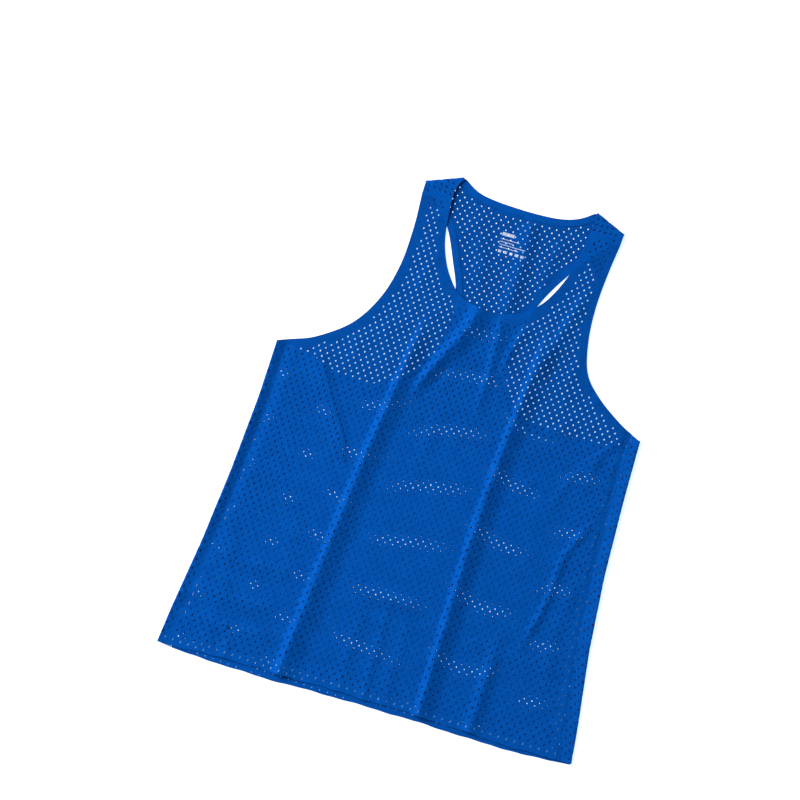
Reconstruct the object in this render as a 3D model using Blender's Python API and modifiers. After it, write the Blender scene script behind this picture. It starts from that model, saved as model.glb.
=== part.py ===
"""A running singlet of perforated knit, laid flat with its front up.

+Y runs from the hem to the neck, +X to the viewer's right and +Z up from the surface that
the back panel lies on. Every piece is cut in a flat pattern, in millimetres. A point of the
pattern then goes to its place in the laid garment, round the rolled sides and over the
shoulder folds, and the surface that results gets the wall of the cloth. Meshes are in metres.
"""
import bpy
import numpy as np
from mathutils import Vector
from mathutils.geometry import delaunay_2d_cdt, interpolate_bezier

MM = 0.001

# ---- driving dimensions, in millimetres ----

CLOTH = 1.0              # wall of every piece
SEAM_GAP = 0.3           # between pieces that meet or lie on each other
LAYER = CLOTH + SEAM_GAP
FLOOR_LAYER = CLOTH / 2  # middle of the wall that lies on the surface

NECK_FACING = 9.0        # widths of the strips bonded inside the edges
ARMHOLE_FACING = 9.0
HEM_FACING = 12.0

RIM_WIDTH = 12.0         # how far in from a rolled side the cloth comes down again
VALLEY_INSET = 13.0      # the shallow valley beside a rolled side, and where it fades out
VALLEY_HALF_WIDTH = 9.0
VALLEY_DEPTH = 1.1
VALLEY_TOP = 45.0
VALLEY_TOP_FADE = 40.0
VALLEY_FOOT = -260.0
VALLEY_FOOT_FADE = 60.0
SEAM_SLACK = 22.0        # line inside the valley where the front is level again
SHOULDER_RADIUS = 2.5    # of the fold over the top of each strap
BOX_MIDDLE = (-0.4, -0.2, 0.0)  # middle of the laid garment's box, which becomes the origin
ROLL_PARTS = 4           # facets round a roll or a fold
STRAP_DIVIDE = 20.0      # x that parts the left strap from the right one

CURVE_STEP = 13.0        # spacing of points along a curved edge
LONG_STEP = 26.0         # spacing along a fold, a side or a straight edge
BACK_GRID = 44.0         # spacing of points inside the flat back
FRONT_GRID = 30.0
CLEAR_OF_LINES = 9.0     # no free point lies nearer than this to a line
SNAP = 0.3               # lines that pass this near to a point run through it
TOO_CLOSE = 1.0          # points of the pattern nearer than this become one
BAND_PAST = 4.0          # how far a facing strip is drawn past the outline, which trims it

PAST_HEM = -360.0        # lines along the sides end beyond the outline, which trims them
PAST_UNDERARM = 95.0
UNDERARM_LEFT = 77.5     # y of the armhole edges where they turn round the sides
UNDERARM_RIGHT = 80.0
UNDERARM_RIGHT_SEAM = 87.5  # y of the right armhole's edge at the side seam
HEM_CORNER_LEFT = -346.0
HEM_CORNER_RIGHT = -348.6


def table(columns, rows):
    """A short table as named columns, in the order of the first one."""
    return {name: np.array(values) for name, values in zip(columns.split(), zip(*sorted(rows)))}


def read(rows, name, at):
    """A column of a table, read between its rows at values of the first column."""
    first = next(iter(rows))
    return np.interp(at, rows[first], rows[name])


# both sides' x, the radius of the side roll and how far in from the side its seam lies
SIDES = table("y left right radius inset", [
    (95, -243.4, 250.8, 2.4, 11.5),
    (78, -243.6, 251.0, 2.4, 12.0),
    (0, -246.2, 252.2, 3.0, 14.0),
    (-100, -253.8, 255.8, 3.0, 16.0),
    (-200, -264.5, 264.2, 2.4, 18.0),
    (-300, -278.6, 277.6, 2.3, 19.5),
    (-360, -285.4, 284.2, 2.3, 20.0),
])

# y of both hems along x: the back one shows below the front one
HEM = table("x back front", [
    (-285, -346.0, -346.0),
    (-242, -348.0, -345.6),
    (-200, -350.2, -341.6),
    (-131, -352.6, -343.6),
    (-67, -352.0, -343.0),
    (0, -351.8, -343.4),
    (85, -352.4, -344.6),
    (136, -354.2, -347.2),
    (216, -353.6, -349.6),
    (285, -348.6, -348.6),
])

# height of the middle of the front's wall where no fold lifts it
FRONT_LEVEL = table("y height", [
    (-335, FLOOR_LAYER + 3 * LAYER),
    (-300, FLOOR_LAYER + 2 * LAYER),
    (0, FLOOR_LAYER + 2 * LAYER),
    (42, FLOOR_LAYER + 3 * LAYER),
    (285, FLOOR_LAYER + 3 * LAYER),
    (315, FLOOR_LAYER + 2 * SHOULDER_RADIUS),
])

# edges as the laid garment shows them, from above
FRONT_NECK = [(111, 325), (106, 295), (99, 262), (77, 220), (46, 197), (10, 191.5),
              (-27, 199), (-50, 222), (-65, 252), (-72, 284), (-75, 319)]
FRONT_ARMHOLE_LEFT = [(-115, 315.5), (-113, 270), (-116, 217), (-129, 169), (-155, 127),
                      (-195, 96.5), (-225, 84), (-241, 78)]
FRONT_ARMHOLE_RIGHT = [(238.5, 88), (218, 98.5), (184, 122), (160, 149), (149, 190),
                       (146, 235), (149, 282), (153.8, 321)]
BACK_NECK = [(113.4, 353.8), (93, 341), (70, 333.6), (40, 331), (8, 331), (-24, 333),
             (-46, 338), (-67.5, 349)]
BACK_ARMHOLE_LEFT = [(-115.4, 329.5), (-92, 304.5), (-70, 280), (-51, 240), (-37, 205),
                     (-31.5, 165), (-38, 126), (-64, 86), (-104, 58.5), (-150, 58),
                     (-192, 70), (-231, 77)]
BACK_ARMHOLE_RIGHT = [(247, 79.5), (219, 68), (180, 63), (140, 63), (95, 70), (66, 95),
                      (57, 135), (60, 178), (76, 224), (99, 264), (126, 301),
                      (155.3, 335.5)]

# ends of each shoulder fold's outermost line, and of the seam on the front of that strap
SHOULDERS = {
    "left": {"outer": (-115.4, 329.5), "neck": (-67.5, 349.0),
             "seam_outer": (-115.0, 316.0), "seam_neck": (-75.0, 319.5)},
    "right": {"outer": (155.3, 335.5), "neck": (113.4, 353.8),
              "seam_outer": (153.8, 321.5), "seam_neck": (111.0, 325.5)},
}

# crest from its upper to its lower end, height, width of the flank on the left and on the
# right, and the stretches over which it rises at the upper and sinks at the lower end
FOLDS = [
    {"crest": [(-66, 172), (-93, -46), (-125, -350)],
     "height": 5.5, "left": 11, "right": 26, "rise": 60, "sink": 1},
    {"crest": [(92, 198), (70, -60), (67, -350)],
     "height": 5.5, "left": 11, "right": 26, "rise": 50, "sink": 1},
    {"crest": [(-8, 198), (-33, 131), (-60, 56)],
     "height": 3.6, "left": 9, "right": 22, "rise": 1, "sink": 50},
    {"crest": [(64, 190), (54, 112)],
     "height": 1.8, "left": 9, "right": 16, "rise": 25, "sink": 40},
    {"crest": [(33, 186), (35, 70)],
     "height": 1.4, "left": 10, "right": 16, "rise": 30, "sink": 50},
    {"crest": [(226, -30), (193, -85), (188, -138), (173, -230)],
     "height": 3.4, "left": 10, "right": 20, "rise": 40, "sink": 50},
    {"crest": [(145, -205), (139, -353)],
     "height": 3.2, "left": 12, "right": 20, "rise": 60, "sink": 1},
    {"crest": [(-208, 60), (-160, -60), (-116, -140)],
     "height": 1.6, "left": 14, "right": 14, "rise": 70, "sink": 70},
]
FLANK_LINES = (-1.0, -0.55, -0.2, 0.0, 0.2, 0.55, 1.0)  # where points lie across a fold

BLUE = (0.012, 0.105, 0.47, 1.0)
BLUE_INSIDE = (0.010, 0.085, 0.40, 1.0)
ROUGHNESS = 0.8


# ---- curves and heights ----

def curve_through(points, step=CURVE_STEP):
    """A smooth curve through the points, as points about one step apart."""
    knots = [Vector(point) for point in points]
    ends = [2 * knots[0] - knots[1]] + knots + [2 * knots[-1] - knots[-2]]
    path = []
    for before, start, end, after in zip(ends, ends[1:], ends[2:], ends[3:]):
        parts = max(1, round((end - start).length / step))
        bend = interpolate_bezier(start, start + (end - before) / 6,
                                  end - (after - start) / 6, end, parts + 1)
        path += [point.xy for point in bend[:-1]]
    path.append(knots[-1])
    return np.array([tuple(point) for point in path])


def ease(share):
    """0 before 0, 1 after 1, with a soft start and end."""
    share = np.clip(share, 0, 1)
    return share * share * (3 - 2 * share)


def side_x(side, y):
    return read(SIDES, "left" if side < 0 else "right", y)


def roll_radius(y):
    return read(SIDES, "radius", y)


def roll_start(side, y):
    """Where the flat cloth starts to turn at a side, -1 for the left and 1 for the right."""
    return side_x(side, y) - side * (roll_radius(y) + CLOTH / 2)


def seam_x(side, y):
    return side_x(side, y) - side * read(SIDES, "inset", y)


def lap_end(side, y):
    """Length of cloth from the start of the roll to the side seam on the other face."""
    return np.pi * roll_radius(y) + side * (roll_start(side, y) - seam_x(side, y))


def fold_height(points, fold):
    """What one fold adds to the height of the front at each point."""
    crest = curve_through(fold["crest"], LONG_STEP)
    lengths = np.hypot(*np.diff(crest, axis=0).T)
    nearest = np.full(len(points), np.inf)
    across = np.zeros(len(points))
    along = np.zeros(len(points))
    for start, end, length, passed in zip(crest, crest[1:], lengths, np.cumsum(lengths) - lengths):
        way = (end - start) / length
        run = np.clip((points - start) @ way, 0, length)
        off = points - start - run[:, None] * way
        distance = np.hypot(*off.T)
        closer = distance < nearest
        nearest = np.where(closer, distance, nearest)
        across = np.where(closer, way[1] * off[:, 0] - way[0] * off[:, 1], across)
        along = np.where(closer, passed + run, along)
    on_right = across < 0
    width = np.where(on_right, fold["right"], fold["left"])
    ends = ease(along / fold["rise"]) * ease((lengths.sum() - along) / fold["sink"])
    return fold["height"] * ends * ease(1 - nearest / width)


def front_height(x, y):
    """Height of the middle of the upper face's wall."""
    points = np.column_stack([x, y])
    level = read(FRONT_LEVEL, "height", y)
    height = level + sum(fold_height(points, fold) for fold in FOLDS)
    beside = ease((VALLEY_TOP - y) / VALLEY_TOP_FADE) * ease((y - VALLEY_FOOT) / VALLEY_FOOT_FADE)
    for side in (-1, 1):
        inward = side * (roll_start(side, y) - x)
        rim = FLOOR_LAYER + 2 * roll_radius(y) - level
        height += rim * ease(1 - inward / RIM_WIDTH)
        off_valley = np.abs(inward - VALLEY_INSET) / VALLEY_HALF_WIDTH
        height -= VALLEY_DEPTH * beside * ease(1 - off_valley)
    return height


# ---- from the pattern to the laid garment ----

def round_a_side(u, v, side, from_above):
    """Places cloth that turns round a side, from the upper face down or from the lower one up."""
    radius = roll_radius(v)
    start = roll_start(side, v)
    turned = side * (u - start)
    angle = np.clip(turned / radius, 0, np.pi)
    beyond = np.maximum(turned - np.pi * radius, 0)
    x = np.where(turned < 0, u, start + side * (radius * np.sin(angle) - beyond))
    upper = front_height(x, v)
    rolled = FLOOR_LAYER + radius + radius * np.cos(angle) * (1 if from_above else -1)
    near_floor = np.full(len(u), FLOOR_LAYER)
    first, last = (upper, near_floor) if from_above else (near_floor, upper)
    z = np.where(turned < 0, first, np.where(beyond > 0, last, rolled))
    return np.column_stack([x, v, z])


def shoulder_frame(strap):
    """A point on the line where the cloth starts to turn, the way along it and the way out."""
    outer = np.array(strap["outer"])
    along = np.array(strap["neck"]) - outer
    along /= np.hypot(*along)
    outward = np.array([-along[1], along[0]])
    outward *= np.sign(outward[1])
    return outer - outward * (SHOULDER_RADIUS + CLOTH / 2), along, outward


def over_shoulder(laid, u, v, strap):
    """Places the end of a strap, which turns up over the shoulder fold and lies on the front."""
    start, _, outward = shoulder_frame(strap)
    turned = (np.column_stack([u, v]) - start) @ outward
    angle = np.clip(turned / SHOULDER_RADIUS, 0, np.pi)
    beyond = np.maximum(turned - np.pi * SHOULDER_RADIUS, 0)
    shift = SHOULDER_RADIUS * np.sin(angle) - beyond - turned
    x = u + shift * outward[0]
    y = v + shift * outward[1]
    rolled = FLOOR_LAYER + SHOULDER_RADIUS * (1 - np.cos(angle))
    z = np.where(beyond > 0, front_height(x, y), rolled)
    is_left = strap is SHOULDERS["left"]
    here = (turned > 0) & ((u < STRAP_DIVIDE) == is_left)
    return np.where(here[:, None], np.column_stack([x, y, z]), laid)


def unfold(point, strap):
    """Where a point on the upper face of a strap lies in the flat back pattern."""
    start, _, outward = shoulder_frame(strap)
    inside = (start - np.array(point)) @ outward
    return np.array(point) + outward * (2 * inside + np.pi * SHOULDER_RADIUS)


def lay_front(u, v):
    return round_a_side(u, v, -1, from_above=True)


def lay_back(u, v):
    laid = round_a_side(u, v, 1, from_above=False)
    for strap in SHOULDERS.values():
        laid = over_shoulder(laid, u, v, strap)
    return laid


# ---- pattern lines ----

def lap_edge(side, y_at_roll, y_at_seam):
    """An edge that runs round a side: from the start of its roll to the side seam."""
    turn = np.pi * roll_radius(y_at_roll)
    end = lap_end(side, y_at_seam)
    shares = np.linspace(0, 1, ROLL_PARTS + 1)
    distances = np.append(shares * turn, end)
    heights = y_at_roll + (y_at_seam - y_at_roll) * np.clip((distances - turn) / (end - turn), 0, 1)
    return np.column_stack([roll_start(side, y_at_roll) + side * distances, heights])


def side_line(y_from, y_to, x_at):
    """A line up or down a side, whose x is a function of y."""
    parts = max(2, round(abs(y_to - y_from) / LONG_STEP))
    y = np.linspace(y_from, y_to, parts + 1)
    return np.column_stack([x_at(y), y])


def hem_line(x_from, x_to, name):
    parts = round((x_to - x_from) / CURVE_STEP)
    x = np.linspace(x_from, x_to, parts + 1)
    return np.column_stack([x, read(HEM, name, x)])


def joined(*lines):
    """Lines end to end as one, with no point given twice."""
    points = np.vstack(lines)
    steps = np.hypot(*np.diff(points, axis=0).T)
    return points[np.append(True, steps > 0.5)]


def directions(line):
    """The way along a line at each of its points."""
    ahead = np.gradient(line, axis=0)
    return ahead / np.hypot(*ahead.T)[:, None]


def sparse(line, least):
    """A line without the points that lie nearer than the least spacing to the one before."""
    kept = [line[0]]
    for point in line[1:-1]:
        if np.hypot(*(point - kept[-1])) >= least and np.hypot(*(line[-1] - point)) >= least:
            kept.append(point)
    return np.array(kept + [line[-1]])


def band(edge, width):
    """The strip between an edge and the line one width to its left, a little past both ends."""
    ahead = directions(edge)
    edge = np.vstack([edge[0] - BAND_PAST * ahead[0], edge, edge[-1] + BAND_PAST * ahead[-1]])
    guide = sparse(edge, CURVE_STEP / 2)
    ahead = directions(guide)
    inner = guide + width * np.column_stack([-ahead[:, 1], ahead[:, 0]])
    return np.vstack([edge, inner[::-1]])


def fold_lines():
    """Lines along each fold, on its crest and its flanks."""
    lines = []
    for fold in FOLDS:
        crest = curve_through(fold["crest"], LONG_STEP)
        ahead = directions(crest)
        left = np.column_stack([ahead[:, 1], -ahead[:, 0]])
        for share in FLANK_LINES:
            width = fold["left"] if share < 0 else fold["right"]
            lines.append(crest - share * width * left)
    return lines


def roll_lines(side):
    """Lines across which a rolled side turns, facet by facet."""
    return [side_line(PAST_HEM, PAST_UNDERARM, lambda y, share=share:
                      roll_start(side, y) + side * share * np.pi * roll_radius(y))
            for share in np.linspace(0, 1, ROLL_PARTS + 1)]


def shoulder_lines():
    lines = []
    for strap in SHOULDERS.values():
        start, along, outward = shoulder_frame(strap)
        length = np.hypot(*np.subtract(strap["neck"], strap["outer"]))
        ends = np.array([-BAND_PAST, length + BAND_PAST])
        for share in np.linspace(0, 1, ROLL_PARTS + 1):
            offset = start + outward * share * np.pi * SHOULDER_RADIUS
            lines.append(offset + ends[:, None] * along)
    return lines


# ---- the two panels and their facings ----

def front_right_edge(y):
    return seam_x(1, y) - SEAM_GAP


def front_left_edge(y):
    return roll_start(-1, y) - lap_end(-1, y)


def back_right_edge(y):
    return roll_start(1, y) + lap_end(1, y)


def back_left_edge(y):
    return seam_x(-1, y) + SEAM_GAP


def front_pattern():
    """Outline, facing strips and inner lines of the front."""
    foot = HEM_CORNER_LEFT
    under_hem = lap_edge(-1, foot, read(HEM, "back", seam_x(-1, foot)))
    over_hem = hem_line(roll_start(-1, foot), front_right_edge(HEM_CORNER_RIGHT), "front")
    hem = joined(under_hem[::-1], over_hem)
    neck = curve_through(FRONT_NECK)
    armhole_right = curve_through(FRONT_ARMHOLE_RIGHT)
    armhole_left = joined(curve_through(FRONT_ARMHOLE_LEFT),
                          lap_edge(-1, UNDERARM_LEFT, UNDERARM_LEFT))
    right_edge = side_line(hem[-1][1], armhole_right[0][1], front_right_edge)
    left_edge = side_line(armhole_left[-1][1], hem[0][1], front_left_edge)
    outline = joined(hem, right_edge, armhole_right, neck, armhole_left, left_edge[:-1])
    strips = {
        "front_hem_facing": band(hem, HEM_FACING),
        "front_armhole_facing_right": band(armhole_right, ARMHOLE_FACING),
        "front_neck_facing": band(neck, NECK_FACING),
        "front_armhole_facing_left": band(armhole_left, ARMHOLE_FACING),
    }
    beside = [side_line(PAST_HEM, PAST_UNDERARM, lambda y, side=side, inset=inset:
                        roll_start(side, y) - side * inset)
              for side in (-1, 1) for inset in (RIM_WIDTH / 2, VALLEY_INSET, SEAM_SLACK)]
    return outline, strips, fold_lines() + beside + roll_lines(-1)


def back_pattern():
    """Outline, facing strips and inner lines of the racer back."""
    foot = HEM_CORNER_RIGHT
    over_hem = lap_edge(1, foot, read(HEM, "front", seam_x(1, foot)))
    hem = joined(hem_line(back_left_edge(HEM_CORNER_LEFT), roll_start(1, foot), "back"), over_hem)
    left, right = SHOULDERS["left"], SHOULDERS["right"]
    armhole_right = joined(lap_edge(1, UNDERARM_RIGHT, UNDERARM_RIGHT_SEAM)[::-1],
                           curve_through(BACK_ARMHOLE_RIGHT)[:-1],
                           shoulder_edge(right, "outer"))
    neck = joined(shoulder_edge(right, "neck")[::-1], curve_through(BACK_NECK)[1:-1],
                  shoulder_edge(left, "neck"))
    armhole_left = joined(shoulder_edge(left, "outer")[::-1],
                          curve_through(BACK_ARMHOLE_LEFT)[1:])
    right_edge = side_line(hem[-1][1], UNDERARM_RIGHT_SEAM, back_right_edge)
    left_edge = side_line(armhole_left[-1][1], hem[0][1], back_left_edge)
    outline = joined(hem, right_edge, armhole_right, neck, armhole_left, left_edge[:-1])
    strips = {
        "back_hem_facing": band(hem, HEM_FACING),
        "back_armhole_facing_right": band(armhole_right, ARMHOLE_FACING),
        "back_neck_facing": band(neck, NECK_FACING),
        "back_armhole_facing_left": band(armhole_left, ARMHOLE_FACING),
    }
    return outline, strips, roll_lines(1) + shoulder_lines()


def shoulder_edge(strap, end):
    """A strap's edge in the pattern, from the start of the shoulder fold to the seam."""
    _, _, outward = shoulder_frame(strap)
    corner = np.array(strap[end]) - outward * (SHOULDER_RADIUS + CLOTH / 2)
    turn = np.pi * SHOULDER_RADIUS * np.linspace(0, 1, ROLL_PARTS + 1)
    seam = unfold(np.array(strap["seam_" + end]) + (0, SEAM_GAP), strap)
    return np.vstack([corner + turn[:, None] * outward, seam])


def free_points(outline, lines, spacing):
    """A staggered grid of points inside the outline's box, clear of every line."""
    low, high = outline.min(axis=0), outline.max(axis=0)
    taken = np.vstack([outline] + lines)
    row_height = spacing * np.sqrt(3) / 2
    points = []
    for row, y in enumerate(np.arange(low[1], high[1], row_height)):
        for x in np.arange(low[0] + spacing / 2 * (row % 2), high[0], spacing):
            if np.hypot(*(taken - (x, y)).T).min() > CLEAR_OF_LINES:
                points.append((x, y))
    return np.array(points)


def nearest_before(points):
    """For each point its own number, or that of an earlier point that it nearly touches."""
    same = []
    for number, point in enumerate(points):
        close = np.flatnonzero(np.hypot(*(points[:number] - point).T) < TOO_CLOSE)
        same.append(same[close[0]] if len(close) else number)
    return same


def cut_pattern(outline, strips, lines, spacing):
    """Triangles of a panel, and for each the names of the strips that it lies in."""
    points, edges, faces = [], [], []
    for loop in [outline] + list(strips.values()):
        faces.append(list(range(len(points), len(points) + len(loop))))
        points += list(loop)
    for line in lines:
        first = len(points)
        edges += [(i, i + 1) for i in range(first, first + len(line) - 1)]
        points += list(line)
    points += list(free_points(outline, list(strips.values()) + lines, spacing))
    flat, _, triangles, _, _, sources = delaunay_2d_cdt(
        [Vector(point) for point in points], edges, faces, 1, SNAP)
    flat = np.array([tuple(point) for point in flat])
    same = nearest_before(flat)
    names = list(strips)
    kept = [([same[corner] for corner in triangle], {names[i - 1] for i in source if i > 0})
            for triangle, source in zip(triangles, sources) if 0 in source]
    return flat, [(triangle, inside) for triangle, inside in kept if len(set(triangle)) == 3]


def surface(name, points, triangles):
    """An open surface, in metres, of the triangles given."""
    used = sorted({corner for triangle in triangles for corner in triangle})
    number = {corner: i for i, corner in enumerate(used)}
    mesh = bpy.data.meshes.new(name)
    mesh.from_pydata((points[used] - BOX_MIDDLE) * MM, [],
                     [[number[corner] for corner in triangle] for triangle in triangles])
    mesh.update()
    return mesh, used


def cloth_material(name, colour):
    material = bpy.data.materials.new(name)
    material.use_nodes = True
    shader = material.node_tree.nodes["Principled BSDF"]
    shader.inputs["Base Color"].default_value = colour
    shader.inputs["Roughness"].default_value = ROUGHNESS
    shader.inputs["Metallic"].default_value = 0.0
    return material


def piece(mesh, colour, collection):
    """A piece of cloth from its middle surface."""
    mesh.materials.append(cloth_material(mesh.name + "_cloth", colour))
    mesh.shade_smooth()
    thing = bpy.data.objects.new(mesh.name, mesh)
    collection.objects.link(thing)
    wall = thing.modifiers.new("wall", "SOLIDIFY")
    wall.thickness = CLOTH * MM
    wall.offset = 0.0
    return thing


def panel(name, pattern, lay, spacing, inside, collection):
    """A panel and the strips bonded to its inner face, one layer in from the panel's points.

    inside is 1 where the panel's own face points into the garment, else -1.
    """
    outline, strips, lines = pattern
    flat, kept = cut_pattern(outline, strips, lines, spacing)
    laid = lay(flat[:, 0], flat[:, 1])
    mesh, used = surface(name, laid, [triangle for triangle, _ in kept])
    normals = np.zeros_like(laid)
    normals[used] = [tuple(vertex.normal) for vertex in mesh.vertices]
    piece(mesh, BLUE, collection)
    for strip in strips:
        triangles = [triangle for triangle, names in kept if strip in names]
        facing, _ = surface(strip, laid + inside * LAYER * normals, triangles)
        piece(facing, BLUE_INSIDE, collection)


def main():
    for thing in list(bpy.data.objects):
        bpy.data.objects.remove(thing, do_unlink=True)
    collection = bpy.data.collections.new("running_singlet")
    bpy.context.scene.collection.children.link(collection)
    panel("back_panel", back_pattern(), lay_back, BACK_GRID, 1, collection)
    panel("front_panel", front_pattern(), lay_front, FRONT_GRID, -1, collection)


main()
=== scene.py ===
import math

import bpy
import numpy as np
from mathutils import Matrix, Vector
from mathutils.geometry import delaunay_2d_cdt, interpolate_bezier


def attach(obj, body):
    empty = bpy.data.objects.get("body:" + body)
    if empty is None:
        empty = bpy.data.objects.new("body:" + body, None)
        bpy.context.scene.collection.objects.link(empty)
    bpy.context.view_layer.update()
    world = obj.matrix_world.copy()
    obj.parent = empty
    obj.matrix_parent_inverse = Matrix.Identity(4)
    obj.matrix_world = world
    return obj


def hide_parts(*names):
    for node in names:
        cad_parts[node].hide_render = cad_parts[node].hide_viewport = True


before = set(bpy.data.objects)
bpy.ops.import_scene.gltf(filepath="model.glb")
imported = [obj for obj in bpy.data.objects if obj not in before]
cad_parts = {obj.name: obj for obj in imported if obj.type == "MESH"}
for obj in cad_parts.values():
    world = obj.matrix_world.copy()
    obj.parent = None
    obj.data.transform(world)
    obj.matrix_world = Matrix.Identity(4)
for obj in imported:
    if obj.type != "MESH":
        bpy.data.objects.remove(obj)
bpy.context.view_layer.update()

# The cloth is cut in a flat pattern, in millimetres, and laid as the solids are, in nearly the
# same outlines. Its layers lie closer on each other than the solids' walls do.

MM = 0.001
BOX_MIDDLE = (-0.4, -0.2, 0.0)  # of the laid garment, which is the origin of the frame

SOLID_WALL = 1.0  # wall of the solids that the cloth follows
SEAM_GAP = 0.3
FLOOR_LAYER = SOLID_WALL / 2
HEM_LEVEL = 1.9  # of the middle of the solid's wall, were it laid as close as the knit
BODY_LEVEL = 1.0
CHEST_LEVEL = 1.9

CLOTH = 0.6  # wall of the knit
OUTER = SOLID_WALL / 2  # the knit's outer face lies where the solid's does
FACING_GAP = 0.05  # between the knit and the strip bonded to it
FACING_CLOTH = 0.45
RIM_CHAMFER = 0.18  # how far the edge of a hole lies below the face of the knit

NECK_FACING = 9.0
ARMHOLE_FACING = 9.0
HEM_FACING = 12.0

ROLL_SQUARENESS = 0.35  # 1 where a side turns in a half circle, less where its edges are tighter
SHOULDER_RADIUS = 1.7
STRAP_DIVIDE = 20.0
LAP_FROM = 1.0

CURVE_STEP = 5.0
ROLL_PARTS = 10
ROLL_STEP = 5.0
SNAP = 0.02
BAND_PAST = 4.0
GUIDE_STEP = 4.0
CREST_STEP = 6.0
FOLD_STEP = 26.0  # between the places on a crest from which its fold is measured
FLANK_LEFT = 0.6  # where on a fold's flanks the mesh has points, as shares of its width
FLANK_RIGHT = 0.3
SOLID_FOLDS = 8

PAST_HEM = -360.0
PAST_UNDERARM = 95.0
UNDERARM_LEFT = 77.5
UNDERARM_RIGHT = 83.4
UNDERARM_RIGHT_SEAM = 87.5
HEM_CORNER_LEFT = -346.0
HEM_CORNER_RIGHT = -348.6


def table(columns, rows):
    """A short table as named columns, in the order of the first one."""
    return {name: np.array(values) for name, values in zip(columns.split(), zip(*sorted(rows)))}


def read(rows, name, at):
    """A column of a table, read between its rows at values of the first column."""
    first = next(iter(rows))
    return np.interp(at, rows[first], rows[name])


SIDES = table("y left right radius inset", [
    (95, -243.4, 250.8, 2.4, 11.5),
    (78, -243.6, 251.0, 2.4, 12.0),
    (0, -246.2, 252.2, 3.0, 14.0),
    (-100, -253.8, 255.8, 3.0, 16.0),
    (-200, -264.5, 264.2, 2.4, 18.0),
    (-300, -278.6, 277.6, 2.3, 19.5),
    (-360, -285.4, 284.2, 2.3, 20.0),
])

# At most this is the radius of the knit's own roll, which is a little tighter than the solid's.
ROLLS = table("y radius", [(-360, 1.3), (-235, 1.4), (-165, 2.05), (95, 2.05)])

# How the front lies beside its two sides: its height over its level by the distance inward
# from the start of the roll, and by the height on the garment how much of the trough shows.
# Over the roll itself it keeps rising by the slope.
SIDE_TROUGHS = {
    -1: table("inward height", [(10.5, -0.15), (12.5, -0.15), (23.0, 1.4), (80.0, 0.0)]),
    1: table("inward height", [(13.5, -0.15), (15.5, -0.15), (21.0, 1.4), (70.0, 0.0)])}
SIDE_SHOWS = {-1: table("y share", [(-290, 0.0), (-220, 0.3), (-120, 0.9), (30, 1.0), (70, 0.6)]),
              1: table("y share", [(-300, 0.3), (-150, 0.4), (-90, 0.9), (50, 1.0), (75, 0.6)])}
SIDE_SLOPE = 0.25

HEM = table("x back front", [
    (-285, -347.0, -346.0),
    (-242, -350.4, -346.4),
    (-200, -352.0, -342.2),
    (-131, -353.6, -343.8),
    (-67, -352.0, -343.0),
    (0, -351.8, -343.4),
    (85, -352.4, -344.6),
    (136, -354.2, -347.2),
    (216, -354.6, -349.8),
    (285, -349.6, -348.6),
])

HEM_WAVES = {"front": [(0.7, 93, 20), (0.45, 41, 7), (0.25, 23, 3)],
             "back": [(0.35, 77, 50), (0.25, 31, 12)]}
HEM_WAVES_FADE = 40.0

FRONT_LEVEL = table("y height", [
    (-335, HEM_LEVEL),
    (-300, BODY_LEVEL),
    (0, BODY_LEVEL),
    (42, CHEST_LEVEL),
    (285, CHEST_LEVEL),
    (315, FLOOR_LAYER + 2 * SHOULDER_RADIUS),
])

FRONT_NECK = [(111, 325.45), (106, 295), (99, 262), (77, 220), (46, 197), (10, 191.5),
              (-27, 199), (-50, 222), (-65, 252), (-72, 284), (-75, 319.45)]
FRONT_ARMHOLE_LEFT = [(-115, 315.95), (-113, 270), (-116, 217), (-129, 169), (-155, 127),
                      (-195, 96.5), (-225, 84), (-241, 78)]
FRONT_ARMHOLE_RIGHT = [(238.5, 88), (218, 98.5), (184, 122), (160, 149), (149, 190),
                       (146, 235), (149, 282), (153.8, 321.45)]
BACK_NECK = [(113.4, 355.2), (93, 341), (70, 333.6), (40, 331), (8, 331), (-24, 333),
             (-46, 338), (-67.5, 350.8)]
BACK_ARMHOLE_LEFT = [(-115.4, 332.2), (-92, 304.5), (-70, 280), (-51, 240), (-37, 205),
                     (-31.5, 165), (-38, 126), (-64, 86), (-104, 58.5), (-150, 58),
                     (-192, 70), (-231, 77)]
BACK_ARMHOLE_RIGHT = [(247.5, 83.2), (219, 68), (180, 63), (140, 63), (95, 70), (66, 95),
                      (57, 135), (60, 178), (76, 224), (99, 264), (126, 301),
                      (155.5, 337.3)]

SHOULDERS = {
    "left": {"outer": (-115.4, 332.2), "neck": (-67.5, 350.8),
             "seam_outer": (-115.0, 316.0), "seam_neck": (-75.0, 319.5),
             "bend_neck": [(-72.3, 339.0), (-74.8, 329.5)]},
    "right": {"outer": (155.5, 337.3), "neck": (113.4, 355.2),
              "seam_outer": (153.8, 321.5), "seam_neck": (111.0, 325.5)},
}

# Crest of each fold from its upper to its lower end, height, width of the flank on the left
# and on the right, the stretches over which it rises at the upper and sinks at the lower end,
# how abruptly its right flank starts, 0 to 1, and the share of its width lost by the lower end.
# The first ones are the solids' folds.
FOLD_COLUMNS = ("crest", "height", "left", "right", "rise", "sink", "crisp", "taper")


def folds(rows):
    """The folds of a table, whose last two columns may be left out where they are 0."""
    return [{"crisp": 0.0, "taper": 0.0, **dict(zip(FOLD_COLUMNS, row))} for row in rows]


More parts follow.
